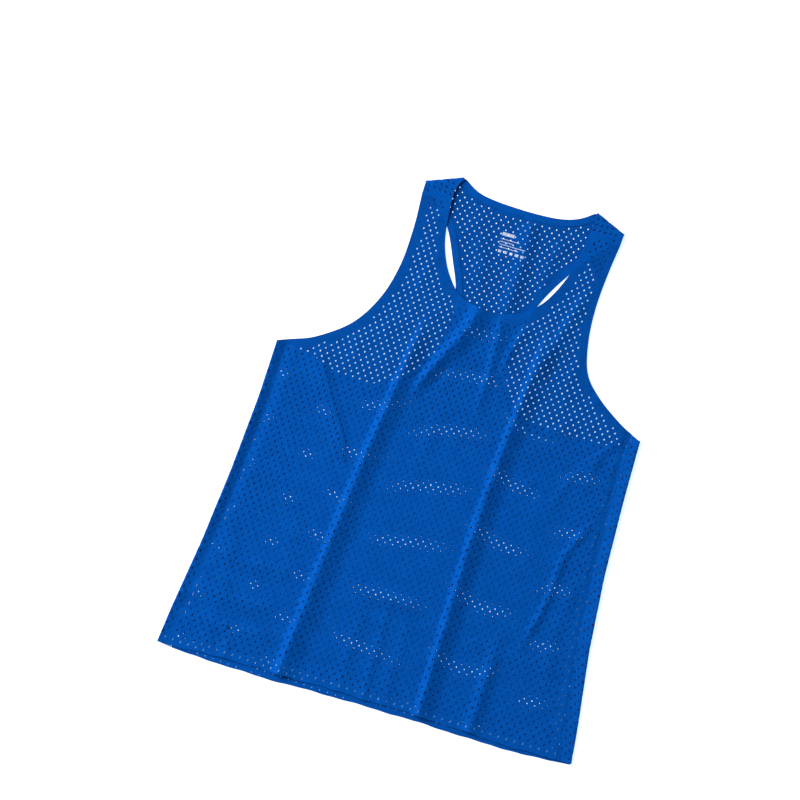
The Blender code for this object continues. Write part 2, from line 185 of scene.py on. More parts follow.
FRONT_FOLDS = folds([
    ([(-62, 174), (-91, -46), (-121, -350)], 6.0, 7.5, 25, 60, 1, 0.55, -0.3),
    ([(97, 198), (76, -60), (71, -350)], 6.0, 7.5, 26, 50, 1, 0.55),
    ([(1, 199), (-8, 160), (-26, 124), (-46, 81), (-57, 44)], 5.8, 16, 30, 1, 55, 0.6, 0.6),
    ([(69, 193), (53, 142), (49, 104)], 2.3, 7, 13, 20, 35, 0.4),
    ([(32, 193), (35, 110), (32, 40)], 2.7, 7, 16, 20, 70, 0.5),
    ([(226, -30), (198, -87), (193, -150), (174, -232)], 2.5, 7, 10, 35, 50, 0.6),
    ([(146, -205), (143, -353)], 3.2, 14, 16, 60, 1, 0.5),
    ([(-190, 90), (-160, 34), (-121, -29), (-114, -66)], 2.1, 30, 9, 30, 35, 0.3),
    ([(135, 268), (120, 219), (104, 160), (94, 112)], 2.6, 9, 20, 40, 50, 0.4),
    ([(161, 85), (126, 50)], 1.1, 8, 8, 20, 20),
    ([(139, 1), (113, -29)], 1.3, 8, 8, 16, 18),
    ([(214, 62), (176, 8), (161, -52)], 1.1, 10, 11, 30, 40, 0.2),
    ([(233, 82), (208, 52), (197, 6)], 1.4, 9, 10, 14, 30, 0.4),
    ([(187, 140), (174, 98)], 1.3, 7, 9, 14, 22, 0.3),
    ([(149, 186), (139, 128), (146, 84)], 0.9, 8, 9, 18, 24, 0.2),
    ([(-150, 118), (-131, 72)], 0.7, 9, 10, 18, 22),
    ([(-113, 150), (-101, 96)], 0.6, 8, 9, 20, 24),
    ([(-21, 168), (-8, 112), (-26, 60)], 0.7, 12, 12, 30, 30),
    ([(9, 110), (-14, 22), (-20, -60)], 0.6, 16, 18, 50, 60),
    ([(-33, -205), (-41, -352)], 0.9, 11, 13, 50, 1),
    ([(-4, -190), (-5, -352)], 1.3, 9, 11, 70, 1, 0.3),
    ([(-195, -306), (-195, -352)], 1.4, 9, 10, 24, 1, 0.3),
    ([(27, -205), (24, -352)], 0.7, 11, 11, 50, 1),
    ([(-255, -206), (-190, -214), (-128, -209)], 1.5, 22, 10, 45, 30),
    ([(-78, -198), (-10, -206), (52, -203)], 1.3, 22, 10, 30, 30),
    ([(92, -228), (180, -236), (250, -232)], 0.8, 22, 10, 30, 40),
    ([(-272, -258), (-205, -266), (-136, -262)], 1.7, 20, 10, 30, 40),
    ([(-276, -300), (-210, -303), (-134, -299)], 1.5, 20, 10, 30, 30),
    ([(-196, -60), (-150, -152), (-142, -215)], 0.5, 18, 20, 60, 50),
    ([(-232, -150), (-219, -262), (-226, -345)], 0.6, 14, 14, 60, 20),
    ([(231, -90), (216, -190), (226, -290)], 0.6, 14, 12, 50, 50),
    ([(-62, 262), (-84, 205), (-82, 150)], 0.7, 9, 9, 30, 30),
])
BACK_FOLDS = folds([
    ([(35, 329), (38, 262), (35, 186)], 3.0, 20, 16, 25, 18, 0.4),
    ([(84, 318), (70, 262), (72, 215)], 1.2, 12, 16, 25, 25),
    ([(-36, 300), (-14, 246), (-18, 208)], 1.0, 16, 18, 30, 25),
])

# Holes of the knit, as ovals in a staggered layout: half their width and half their length.
FRONT_HOLES = table("y half_width half_length", [
    (-360, 0.86, 2.0), (20, 0.8, 1.95), (200, 0.82, 1.85), (290, 1.0, 1.9)])
LONE_HOLE = (0.83, 1.17)  # where the front lies alone on the floor
LONE_FROM = 40.0  # and it does so only above this level
BACK_HOLES = table("y half_width half_length", [
    (-360, 0.82, 1.0), (180, 0.82, 1.0), (200, 0.74, 1.0), (338, 0.74, 1.0), (346, 1.0, 1.9)])
WRAP_HOLE = (0.98, 1.8)  # where the back is turned over on the right
HOLE_SIDES = 8
HOLE_SIZE_VARIES = 0.1
HOLE_TURN_VARIES = 0.15
FRONT_HOLE_TURN = -0.28  # radians from the way up the garment, clockwise where negative
BACK_HOLE_TURN = 0.05

# Phase of the knit's columns and rows of holes at a place, as sums of powers of x and y in
# decimetres. A hole lies where both are whole and their sum is even.
COLUMN_PHASE = {(1, 0): 19.8747, (0, 1): -2.7424, (2, 0): -0.0758, (1, 1): 0.4527,
                (0, 2): -0.1881}
ROW_PHASE = {(1, 0): 0.5777, (0, 1): 16.6847, (2, 0): -0.0775, (1, 1): 0.0293, (0, 2): 0.1911}

# How far the back's phases run ahead of the front's. Where both are whole, the holes of the
# two layers fall over each other and the surface below shows.
COLUMN_LEAD = table("x lead", [(-300, -2.0), (-231, -1.5), (-160, -1.0), (-110, -0.5),
                               (5, 0.0), (118, 0.5), (193, 1.0), (300, 1.6)])
COLUMN_LEAD_DRIFT = table("x drift", [(-200, 0.09), (0, 0.14), (120, -0.06), (240, -0.06)])
COLUMN_LEAD_LEVEL = -20.0
ROW_LEAD = table("x start period", [(-160, 6.6, 61.6), (-110, 10.3, 63.8), (-60, 20.0, 75.0),
                                    (5, 26.2, 77.0), (60, 22.0, 77.0), (105, 3.0, 75.8),
                                    (135, 3.0, 75.8), (193, 16.4, 75.5)])
ROW_LEAD_SLOPE = table("y slope", [(-300, -0.15), (-205, 0.0), (-128, 0.15), (-50, 0.22),
                                   (26, 0.22), (100, 0.1)])
ROW_LEAD_SLOPE_MIDDLE = 5.0
ROW_LEAD_SLOPE_REACH = 120.0
# how much the leads linger across there, and hurry up and down
GATHER_COLUMNS = table("x share", [(-200, -0.5), (-110, -0.3), (-50, 0.64), (60, 0.64),
                                   (150, 0.4), (220, 0.0)])
GATHER_ROWS = 0.92
# the upper back's own columns and rows, per millimetre, and where they take over
NECK_COLUMNS = (0.2037, 0.0)
NECK_ROWS = (-0.0055, 0.1775)
NECK_TAKES_OVER = (10.0, 90.0)
NECK_TAKE_OVER_LENGTH = 70.0

HOLE_REACH = (2.2, 2.8)  # across and along, no free point lies nearer to the middle of a hole
BAND_MARGIN = 2.0  # between a facing's inner line and the middle of a hole
EDGE_MARGIN = 3.2  # between an edge without a facing and the middle of a hole
SHOULDER_MARGIN = 3.4
STRAP_MARGIN = 8.2  # from the edges of the front's straps near their seams
LAP_MARGIN = 3.2  # the same where the back's straps are turned over on their front
STRIP_MARGIN = 2.6  # between the edges of a hem's strip and the middle of a hole in it
SEAM_ALLOWANCE = 11.0  # strip beside the front's right seam, under which cloth is bonded
UNDER_LAP = (7.5, 13.0)  # the same beside the rolled left side, from the start of its roll
ON_ROLL = (-12.0, 7.5)  # and on the roll itself
ON_WRAP = 2.0  # where the back turns over on the right, from the start of its roll
STRAP_TOP = {-1: 301.0, 1: 294.0}  # above these no holes of the layers fall over each other
# nor right of this line over the right strap
STRAP_OUTSIDE = table("y x", [(244, 143.0), (294, 124.0)])
SHOULDER_GAP = -0.4  # the two straps' ends are sewn a little over each other


# ---- curves and heights ----

def curve_through(points, step=CURVE_STEP):
    """A smooth curve through the points, as points about one step apart."""
    knots = [Vector(point) for point in points]
    ends = [2 * knots[0] - knots[1]] + knots + [2 * knots[-1] - knots[-2]]
    path = []
    for before, start, end, after in zip(ends, ends[1:], ends[2:], ends[3:]):
        parts = max(1, round((end - start).length / step))
        bend = interpolate_bezier(start, start + (end - before) / 6,
                                  end - (after - start) / 6, end, parts + 1)
        path += [point.xy for point in bend[:-1]]
    path.append(knots[-1])
    return np.array([tuple(point) for point in path])


def ease(share):
    """0 before 0, 1 after 1, with a soft start and end."""
    share = np.clip(share, 0, 1)
    return share * share * (3 - 2 * share)


def side_x(side, y):
    return read(SIDES, "left" if side < 0 else "right", y)


def roll_radius(y):
    return np.minimum(read(SIDES, "radius", y), read(ROLLS, "radius", y))


def roll_start(side, y):
    """Where the flat cloth starts to turn at a side, -1 for the left and 1 for the right."""
    return side_x(side, y) - side * (roll_radius(y) + SOLID_WALL / 2)


def seam_x(side, y):
    return side_x(side, y) - side * read(SIDES, "inset", y)


def lap_end(side, y):
    """Length of cloth from the start of the roll to the side seam on the other face."""
    return np.pi * roll_radius(y) + side * (roll_start(side, y) - seam_x(side, y))


def offsets_from(line, points):
    """For each point its distance from a line, the side that it is on and how far along."""
    lengths = np.hypot(*np.diff(line, axis=0).T)
    nearest = np.full(len(points), np.inf)
    across = np.zeros(len(points))
    along = np.zeros(len(points))
    for start, end, length, passed in zip(line, line[1:], lengths, np.cumsum(lengths) - lengths):
        way = (end - start) / length
        run = np.clip((points - start) @ way, 0, length)
        off = points - start - run[:, None] * way
        distance = np.hypot(*off.T)
        closer = distance < nearest
        nearest = np.where(closer, distance, nearest)
        across = np.where(closer, way[1] * off[:, 0] - way[0] * off[:, 1], across)
        along = np.where(closer, passed + run, along)
    return nearest, across, along, lengths.sum()


def fold_height(points, fold):
    """What one fold adds to the height of the front at each point."""
    crest = curve_through(fold["crest"], FOLD_STEP)
    nearest, across, along, length = offsets_from(crest, points)
    is_right = across < 0
    width = np.where(is_right, fold["right"], fold["left"]) * (1 - fold["taper"] * along / length)
    ends = ease(along / fold["rise"]) * ease((length - along) / fold["sink"])
    up = np.clip(1 - nearest / width, 0, 1)
    crisp = np.where(is_right, fold["crisp"], 0.0)
    return fold["height"] * ends * (crisp * up ** 2 + (1 - crisp) * ease(up))


def front_height(x, y):
    """Height of the middle of the solid's upper wall."""
    points = np.column_stack([x, y])
    level = read(FRONT_LEVEL, "height", y)
    height = level + sum(fold_height(points, fold) for fold in FRONT_FOLDS)
    for side in (-1, 1):
        inward = side * (roll_start(side, y) - x)
        rim = FLOOR_LAYER + 2 * roll_radius(y) - level
        trough = SIDE_TROUGHS[side]
        foot = trough["inward"][0]
        share = read(SIDE_SHOWS[side], "share", y)
        down = read(trough, "height", np.maximum(inward, foot)) * share
        near = np.clip(1 - inward / foot, 0, 1)
        height += np.where(inward < foot, rim * near + down * (1 - near), down)
    return height


# ---- from the pattern to the laid garment ----

def round_a_side(u, v, side):
    """Places cloth that turns round a side: the front's down on the left, the back's up on the
    right."""
    radius = roll_radius(v)
    start = roll_start(side, v)
    turned = side * (u - start)
    angle = np.clip(turned / radius, 0, np.pi)
    beyond = np.maximum(turned - np.pi * radius, 0)
    out = np.sin(angle) ** ROLL_SQUARENESS
    lift = -side * np.sign(np.cos(angle)) * np.abs(np.cos(angle)) ** ROLL_SQUARENESS
    lift += SIDE_SLOPE * out * (lift > 0)
    x = np.where(turned < 0, u, start + side * (radius * out - beyond))
    levels = front_height(x, v), FLOOR_LAYER
    first, last = levels if side < 0 else levels[::-1]
    rolled = FLOOR_LAYER + radius + radius * lift
    z = np.where(turned < 0, first, np.where(beyond > 0, last, rolled))
    return np.column_stack([x, v, z])


def shoulder_frame(strap):
    """A point on the line where the cloth starts to turn, the way along it and the way out."""
    outer = np.array(strap["outer"])
    along = np.array(strap["neck"]) - outer
    along /= np.hypot(*along)
    outward = np.array([-along[1], along[0]])
    outward *= np.sign(outward[1])
    return outer - outward * (SHOULDER_RADIUS + SOLID_WALL / 2), along, outward


def past_fold(points, strap):
    """How far points of the back's pattern lie past the start of a strap's fold, if they are on
    that strap."""
    start, _, outward = shoulder_frame(strap)
    is_own = (points[:, 0] < STRAP_DIVIDE) == (strap is SHOULDERS["left"])
    return np.where(is_own, (points - start) @ outward, -1.0)


def over_shoulder(laid, points, strap):
    """Places the end of a strap, which turns up over the shoulder fold and lies on the front."""
    turned = past_fold(points, strap)
    angle = np.clip(turned / SHOULDER_RADIUS, 0, np.pi)
    beyond = np.maximum(turned - np.pi * SHOULDER_RADIUS, 0)
    shift = SHOULDER_RADIUS * np.sin(angle) - beyond - turned
    x, y = (points + shift[:, None] * shoulder_frame(strap)[2]).T
    rolled = FLOOR_LAYER + SHOULDER_RADIUS * (1 - np.cos(angle))
    z = np.where(beyond > 0, front_height(x, y), rolled)
    return np.where(turned[:, None] > 0, np.column_stack([x, y, z]), laid)


def unfold(point, strap):
    """Where a point on the upper face of a strap lies in the flat back pattern."""
    start, _, outward = shoulder_frame(strap)
    inside = (start - np.array(point)) @ outward
    return np.array(point) + outward * (2 * inside + np.pi * SHOULDER_RADIUS)


def lay_front(u, v):
    return round_a_side(u, v, -1)


def lay_back(u, v):
    laid = round_a_side(u, v, 1)
    points = np.column_stack([u, v])
    laid[:, 2] += sum(fold_height(points, fold) for fold in BACK_FOLDS)
    for strap in SHOULDERS.values():
        laid = over_shoulder(laid, points, strap)
    return laid


# ---- pattern lines ----

def lap_edge(side, y_at_roll, y_at_seam):
    """An edge that runs round a side: from the start of its roll to the side seam."""
    turn = np.pi * roll_radius(y_at_roll)
    end = lap_end(side, y_at_seam)
    distances = np.append(np.linspace(0, 1, ROLL_PARTS + 1) * turn, (turn + end) / 2)
    distances = np.append(distances, end)
    heights = y_at_roll + (y_at_seam - y_at_roll) * np.clip((distances - turn) / (end - turn), 0, 1)
    return np.column_stack([roll_start(side, y_at_roll) + side * distances, heights])


def side_line(y_from, y_to, x_at):
    """A line up or down a side, whose x is a function of y."""
    y = np.linspace(y_from, y_to, round(abs(y_to - y_from) / CURVE_STEP) + 1)
    return np.column_stack([x_at(y), y])


def up_a_side(side, turns=0.0, inward=0.0, lift=0.0):
    """A line up a side, so many half turns out from the start of its roll, or so far inward."""
    return side_line(PAST_HEM + lift, PAST_UNDERARM + lift, lambda y:
                     roll_start(side, y) + side * (turns * np.pi * roll_radius(y) - inward))


def hem_line(x_from, x_to, name):
    """A hem, which is a little wavy between its ends."""
    parts = round((x_to - x_from) / CURVE_STEP)
    x = np.linspace(x_from, x_to, parts + 1)
    y = read(HEM, name, x)
    for height, length, start in HEM_WAVES[name]:
        y = y + height * np.sin(2 * np.pi * (x - start) / length)
    ends = ease((x - x_from) / HEM_WAVES_FADE) * ease((x_to - x) / HEM_WAVES_FADE)
    return np.column_stack([x, read(HEM, name, x) * (1 - ends) + y * ends])


def joined(*lines):
    """Lines end to end as one, with no point given twice."""
    points = np.vstack(lines)
    steps = np.hypot(*np.diff(points, axis=0).T)
    return points[np.append(True, steps > 0.1)]


def directions(line):
    """The way along a line at each of its points."""
    ahead = np.gradient(line, axis=0)
    return ahead / np.hypot(*ahead.T)[:, None]


def left_of(line):
    """The way to the left of a line at each of its points."""
    ahead = directions(line)
    return np.column_stack([-ahead[:, 1], ahead[:, 0]])


def sparse(line, least):
    """A line without the points that lie nearer than the least spacing to the one before."""
    kept = [line[0]]
    for point in line[1:-1]:
        if np.hypot(*(point - kept[-1])) >= least and np.hypot(*(line[-1] - point)) >= least:
            kept.append(point)
    return np.array(kept + [line[-1]])


def lengthened(edge):
    """An edge with a little more at both ends."""
    ahead = directions(edge)
    return np.vstack([edge[0] - BAND_PAST * ahead[0], edge, edge[-1] + BAND_PAST * ahead[-1]])


def inset_line(edge, width):
    """The line one width to the left of an edge, from a little before it to a little past it."""
    guide = sparse(lengthened(edge), GUIDE_STEP)
    return guide + width * left_of(guide)


def band(edge, width):
    """The strip between an edge and the line one width to its left, a little past both ends."""
    return np.vstack([lengthened(edge), inset_line(edge, width)[::-1]])


def shoulder_edge(strap, end):
    """A strap's edge in the pattern, from the start of the shoulder fold to the seam."""
    _, _, outward = shoulder_frame(strap)
    corner = np.array(strap[end]) - outward * (SHOULDER_RADIUS + SOLID_WALL / 2)
    turn = np.pi * SHOULDER_RADIUS * np.linspace(0, 1, ROLL_PARTS + 1)
    bend = [unfold(point, strap) for point in strap.get("bend_" + end, [])]
    seam = unfold(np.add(strap["seam_" + end], (0, SHOULDER_GAP)), strap)
    return np.vstack([corner + turn[:, None] * outward] + bend + [seam])


def roll_points(side):
    """Points across a rolled side, close enough together for the cloth to turn smoothly."""
    return np.vstack([up_a_side(side, turns=share, lift=ROLL_STEP / 2 * (number % 2))
                      for number, share in enumerate(np.linspace(0, 1, ROLL_PARTS + 1))])


def shoulder_points():
    """Points across the folds over the tops of the straps."""
    lines = []
    for strap in SHOULDERS.values():
        start, along, outward = shoulder_frame(strap)
        length = np.hypot(*np.subtract(strap["neck"], strap["outer"]))
        for number, share in enumerate(np.linspace(0, 1, ROLL_PARTS + 1)):
            offset = start + outward * share * np.pi * SHOULDER_RADIUS
            run = np.arange(1.0 + number % 2 * ROLL_STEP / 2, length, ROLL_STEP)
            lines.append(offset + run[:, None] * along)
    return np.vstack(lines)


def fold_points():
    """Points on the crests and along the flanks of the folds, and along the sides' troughs."""
    lines = []
    for fold in FRONT_FOLDS[:SOLID_FOLDS]:
        crest = curve_through(fold["crest"], CREST_STEP)
        for offset in (-FLANK_LEFT * fold["left"], 0.0, FLANK_RIGHT * fold["right"]):
            lines.append(crest - offset * left_of(crest))
    lines += [up_a_side(side, inward=inward)
              for side in (-1, 1) for inward in SIDE_TROUGHS[side]["inward"]]
    return np.vstack(lines)


def stretches_of(hem, side_right, armhole_right, neck, armhole_left, side_left):
    """The stretches of a panel's outline, as lines by name, in their order."""
    return {"hem": hem, "side_right": side_right, "armhole_right": armhole_right,
            "shoulder_right": np.array([armhole_right[-1], neck[0]]), "neck": neck,
            "shoulder_left": np.array([neck[-1], armhole_left[0]]),
            "armhole_left": armhole_left, "side_left": side_left}


def front_pattern():
    foot = HEM_CORNER_LEFT
    right_edge = lambda y: seam_x(1, y) - SEAM_GAP
    left_edge = lambda y: roll_start(-1, y) - lap_end(-1, y)
    under_hem = lap_edge(-1, foot, read(HEM, "back", seam_x(-1, foot)))
    over_hem = hem_line(roll_start(-1, foot), right_edge(HEM_CORNER_RIGHT), "front")
    hem = joined(under_hem[::-1], over_hem)
    armhole_right = curve_through(FRONT_ARMHOLE_RIGHT)
    armhole_left = joined(curve_through(FRONT_ARMHOLE_LEFT),
                          lap_edge(-1, UNDERARM_LEFT, UNDERARM_LEFT))
    return stretches_of(hem, side_line(hem[-1][1], armhole_right[0][1], right_edge),
                        armhole_right, curve_through(FRONT_NECK), armhole_left,
                        side_line(armhole_left[-1][1], hem[0][1], left_edge))


def back_pattern():
    """The racer back's, with the ends of its straps and its wrap round the right side."""
    foot = HEM_CORNER_RIGHT
    right_edge = lambda y: roll_start(1, y) + lap_end(1, y)
    left_edge = lambda y: seam_x(-1, y) + SEAM_GAP
    over_hem = lap_edge(1, foot, read(HEM, "front", seam_x(1, foot)))
    hem = joined(hem_line(left_edge(HEM_CORNER_LEFT), roll_start(1, foot), "back"), over_hem)
    left, right = SHOULDERS["left"], SHOULDERS["right"]
    armhole_right = joined(lap_edge(1, UNDERARM_RIGHT, UNDERARM_RIGHT_SEAM)[::-1],
                           curve_through(BACK_ARMHOLE_RIGHT)[:-1],
                           shoulder_edge(right, "outer"))
    neck = joined(shoulder_edge(right, "neck")[::-1], curve_through(BACK_NECK)[1:-1],
                  shoulder_edge(left, "neck"))
    armhole_left = joined(shoulder_edge(left, "outer")[::-1],
                          curve_through(BACK_ARMHOLE_LEFT)[1:])
    return stretches_of(hem, side_line(hem[-1][1], UNDERARM_RIGHT_SEAM, right_edge),
                        armhole_right, neck, armhole_left,
                        side_line(armhole_left[-1][1], hem[0][1], left_edge))


# ---- holes ----

SEED_GRID = 12  # places each way from which the search for the holes may start
SEEDED = 40  # holes in a row that start from the same place
SEARCH_ROUNDS = 30
SLOPE_STEP = 0.5
LONGEST_MOVE = 60.0
SEARCH_PAST = 40.0  # how far the search may leave the box
POINTS_AT_ONCE = 500
rng = np.random.default_rng(11)


def power_sum(terms, x, y):
    return sum(factor * (x / 100) ** a * (y / 100) ** b for (a, b), factor in terms.items())


def front_phases(x, y):
    return power_sum(COLUMN_PHASE, x, y), power_sum(ROW_PHASE, x, y)


def body_phases(x, y):
    column, row = front_phases(x, y)
    level_x = x + (COLUMN_LEAD_LEVEL - y) * read(COLUMN_LEAD_DRIFT, "drift", x)
    across = read(COLUMN_LEAD, "lead", level_x)
    linger = read(GATHER_COLUMNS, "share", x)
    off_middle = x - ROW_LEAD_SLOPE_MIDDLE
    sloped = read(ROW_LEAD_SLOPE, "slope", y) * off_middle
    sloped = sloped * ease(1.5 - np.abs(off_middle) / ROW_LEAD_SLOPE_REACH)
    along = (y - read(ROW_LEAD, "start", x) - sloped) / read(ROW_LEAD, "period", x)
    turn = 2 * np.pi
    more_across = -linger / turn * np.sin(turn * across) * np.cos(turn * along)
    more_along = GATHER_ROWS / turn * np.sin(turn * along) * np.cos(turn * across)
    return column + 2 * (across + more_across), row + 2 * (along + more_along)


def back_phases(x, y):
    """The body's phases below, and the upper back's own above, which meet without a jump."""
    column, row = body_phases(x, y)
    middle, level = NECK_TAKES_OVER
    level = level + NECK_TAKE_OVER_LENGTH / 2
    column_there, row_there = body_phases(np.array([middle]), np.array([level]))
    neck_column = column_there + NECK_COLUMNS[0] * (x - middle) + NECK_COLUMNS[1] * (y - level)
    neck_row = row_there + NECK_ROWS[0] * (x - middle) + NECK_ROWS[1] * (y - level)
    share = ease((y - NECK_TAKES_OVER[1]) / NECK_TAKE_OVER_LENGTH)
    return column + share * (neck_column - column), row + share * (neck_row - row)


def hole_middles(phases, low, high):
    """Places within a box where both phases are whole and their sum is even."""
    corners = np.array([(x, y) for x in np.linspace(low[0], high[0], SEED_GRID)
                        for y in np.linspace(low[1], high[1], SEED_GRID)])
    column, row = phases(corners[:, 0], corners[:, 1])
    wanted = np.array([(i, j) for i in range(math.floor(column.min()), math.ceil(column.max()) + 1)
                       for j in range(math.floor(row.min()), math.ceil(row.max()) + 1)
                       if (i + j) % 2 == 0], dtype=float)
    nearest = [np.argmin((column - i) ** 2 + (row - j) ** 2) for i, j in wanted[::SEEDED]]
    spots = np.repeat(corners[nearest], SEEDED, axis=0)[:len(wanted)]
    for _ in range(SEARCH_ROUNDS):
        here = np.array(phases(*spots.T))
        by_x, by_y = ((np.array(phases(*(spots + step).T)) - here) / SLOPE_STEP
                      for step in ((SLOPE_STEP, 0), (0, SLOPE_STEP)))
        miss = wanted.T - here
        scale = by_x[0] * by_y[1] - by_x[1] * by_y[0]
        move = np.column_stack([miss[0] * by_y[1] - miss[1] * by_y[0],
                                by_x[0] * miss[1] - by_x[1] * miss[0]]) / scale[:, None]
        spots = np.clip(spots + np.clip(move, -LONGEST_MOVE, LONGEST_MOVE),
                        low - SEARCH_PAST, high + SEARCH_PAST)
    met = np.abs(np.array(phases(*spots.T)) - wanted.T).max(axis=0) < 0.01
    return spots[met & ((spots > low) & (spots < high)).all(axis=1)]


def line_distance(points, line):
    return offsets_from(line, points)[0]


def is_inside(points, loop):
    """Whether each point lies inside a closed loop."""
    x, y = points[:, 0, None], points[:, 1, None]
    x0, y0 = loop.T
    x1, y1 = np.roll(loop, -1, axis=0).T
    crosses = (y0 > y) != (y1 > y)
    at = x0 + (y - y0) / np.where(y1 == y0, 1, y1 - y0) * (x1 - x0)
    return (crosses & (x < at)).sum(axis=1) % 2 == 1


def outline_of(stretches):
    return joined(*stretches.values())[:-1]


def closed(loop):
    """A loop as a line that ends where it starts."""
    return np.vstack([loop, loop[:1]])


def margin_of(name):
    """The least distance from a stretch of the outline to the middle of a hole."""
    if name.startswith("shoulder"):
        return SHOULDER_MARGIN
    if name.startswith("side") or name == "hem":
        return EDGE_MARGIN
    return (NECK_FACING if name == "neck" else ARMHOLE_FACING) + BAND_MARGIN


def hole_halves(shapes, middles, is_special=False, special=(0.0, 0.0)):
    """Half the width and half the length of each hole."""
    return [np.where(is_special, own, read(shapes, name, middles[:, 1]))
            for own, name in zip(special, ("half_width", "half_length"))]


def on_lap(points):
    """Whether each point of the back's pattern lies past the fold over a strap's top."""
    return np.any([past_fold(points, strap) > LAP_FROM for strap in SHOULDERS.values()], axis=0)


def on_strap_top(points):
    """Whether each point of the front's pattern lies where a strap's layers cover each other."""
    x, y = points.T
    above = y > np.where(x < STRAP_DIVIDE, STRAP_TOP[-1], STRAP_TOP[1])
    return above | (x > read(STRAP_OUTSIDE, "x", y)) & (y > STRAP_OUTSIDE["y"][0])


def punched(stretches, phases):
    """The middles of a panel's holes."""
    outline = outline_of(stretches)
    middles = hole_middles(phases, outline.min(axis=0), outline.max(axis=0))
    middles = middles[is_inside(middles, outline)]
    for name, line in stretches.items():
        own = margin_of(name)
        if phases is front_phases:
            margins = np.where(on_strap_top(middles), min(STRAP_MARGIN, own), own)
        else:
            margins = np.where(on_lap(middles), LAP_MARGIN, own)
        middles = middles[line_distance(middles, line) > margins]
    return middles


def ovals(middles, halves, turn):
    """A loop of points for each hole."""
    size = 1 + HOLE_SIZE_VARIES * rng.uniform(-1, 1, (len(middles), 1))
    turns = turn + HOLE_TURN_VARIES * rng.uniform(-1, 1, (len(middles), 1))
    round_angles = (np.arange(HOLE_SIDES) + 0.5) * 2 * np.pi / HOLE_SIDES
    x = halves[0][:, None] * size * np.cos(round_angles)
    y = halves[1][:, None] * size * np.sin(round_angles)
    loops = np.stack([x * np.cos(turns) - y * np.sin(turns),
                      x * np.sin(turns) + y * np.cos(turns)], axis=2)
    return loops + middles[:, None]


def clear_of_holes(points, middles):
    """The points that lie outside every hole, with a little room."""
    kept = []
    for part in np.array_split(points, len(points) // POINTS_AT_ONCE + 1):
        off = (part[:, None] - middles) / HOLE_REACH
        kept.append(part[(off ** 2).sum(axis=2).min(axis=1, initial=np.inf) > 1])
    return np.vstack(kept)


# ---- cutting and shells ----

def cut(outline, areas, points):
    """Triangles inside an outline, and for each the numbers of the areas that it lies in."""
    corners, faces = [], []
    for loop in [outline] + list(areas):
        faces.append(list(range(len(corners), len(corners) + len(loop))))
        corners += [Vector(point) for point in loop]
    corners += [Vector(point) for point in points]
    flat, _, triangles, _, _, sources = delaunay_2d_cdt(corners, [], faces, 1, SNAP)
    flat = np.array([tuple(point) for point in flat])
    inside = [i for i, source in enumerate(sources) if 0 in source]
    return (flat, np.array([triangles[i] for i in inside]),
            [[area - 1 for area in sources[i] if area > 0] for i in inside])


def vertex_normals(points, triangles):
    a, b, c = (points[triangles[:, i]] for i in range(3))
    face_normals = np.cross(b - a, c - a)
    normals = np.zeros_like(points)
    for i in range(3):
        np.add.at(normals, triangles[:, i], face_normals)
    lengths = np.linalg.norm(normals, axis=1)
    return normals / np.where(lengths == 0, 1, lengths)[:, None]


def open_edges(triangles):
    """Edges that only one triangle has, in its own direction."""
    edges = np.vstack([triangles[:, [0, 1]], triangles[:, [1, 2]], triangles[:, [2, 0]]])
    size = int(edges.max()) + 1
    forward = edges[:, 0].astype(np.int64) * size + edges[:, 1]
    backward = edges[:, 1].astype(np.int64) * size + edges[:, 0]
    return edges[~np.isin(forward, backward)]


UV_SPAN = 1400.0  # millimetres of pattern across the map
UV_MARGIN = 12.0
WALL_SPREAD = 0.7  # how far the map of a wall reaches from its edge
FILM_DEPTH = 0.18  # of the film's face over the closed face of the cloth
SHARP_ANGLE = math.radians(62)


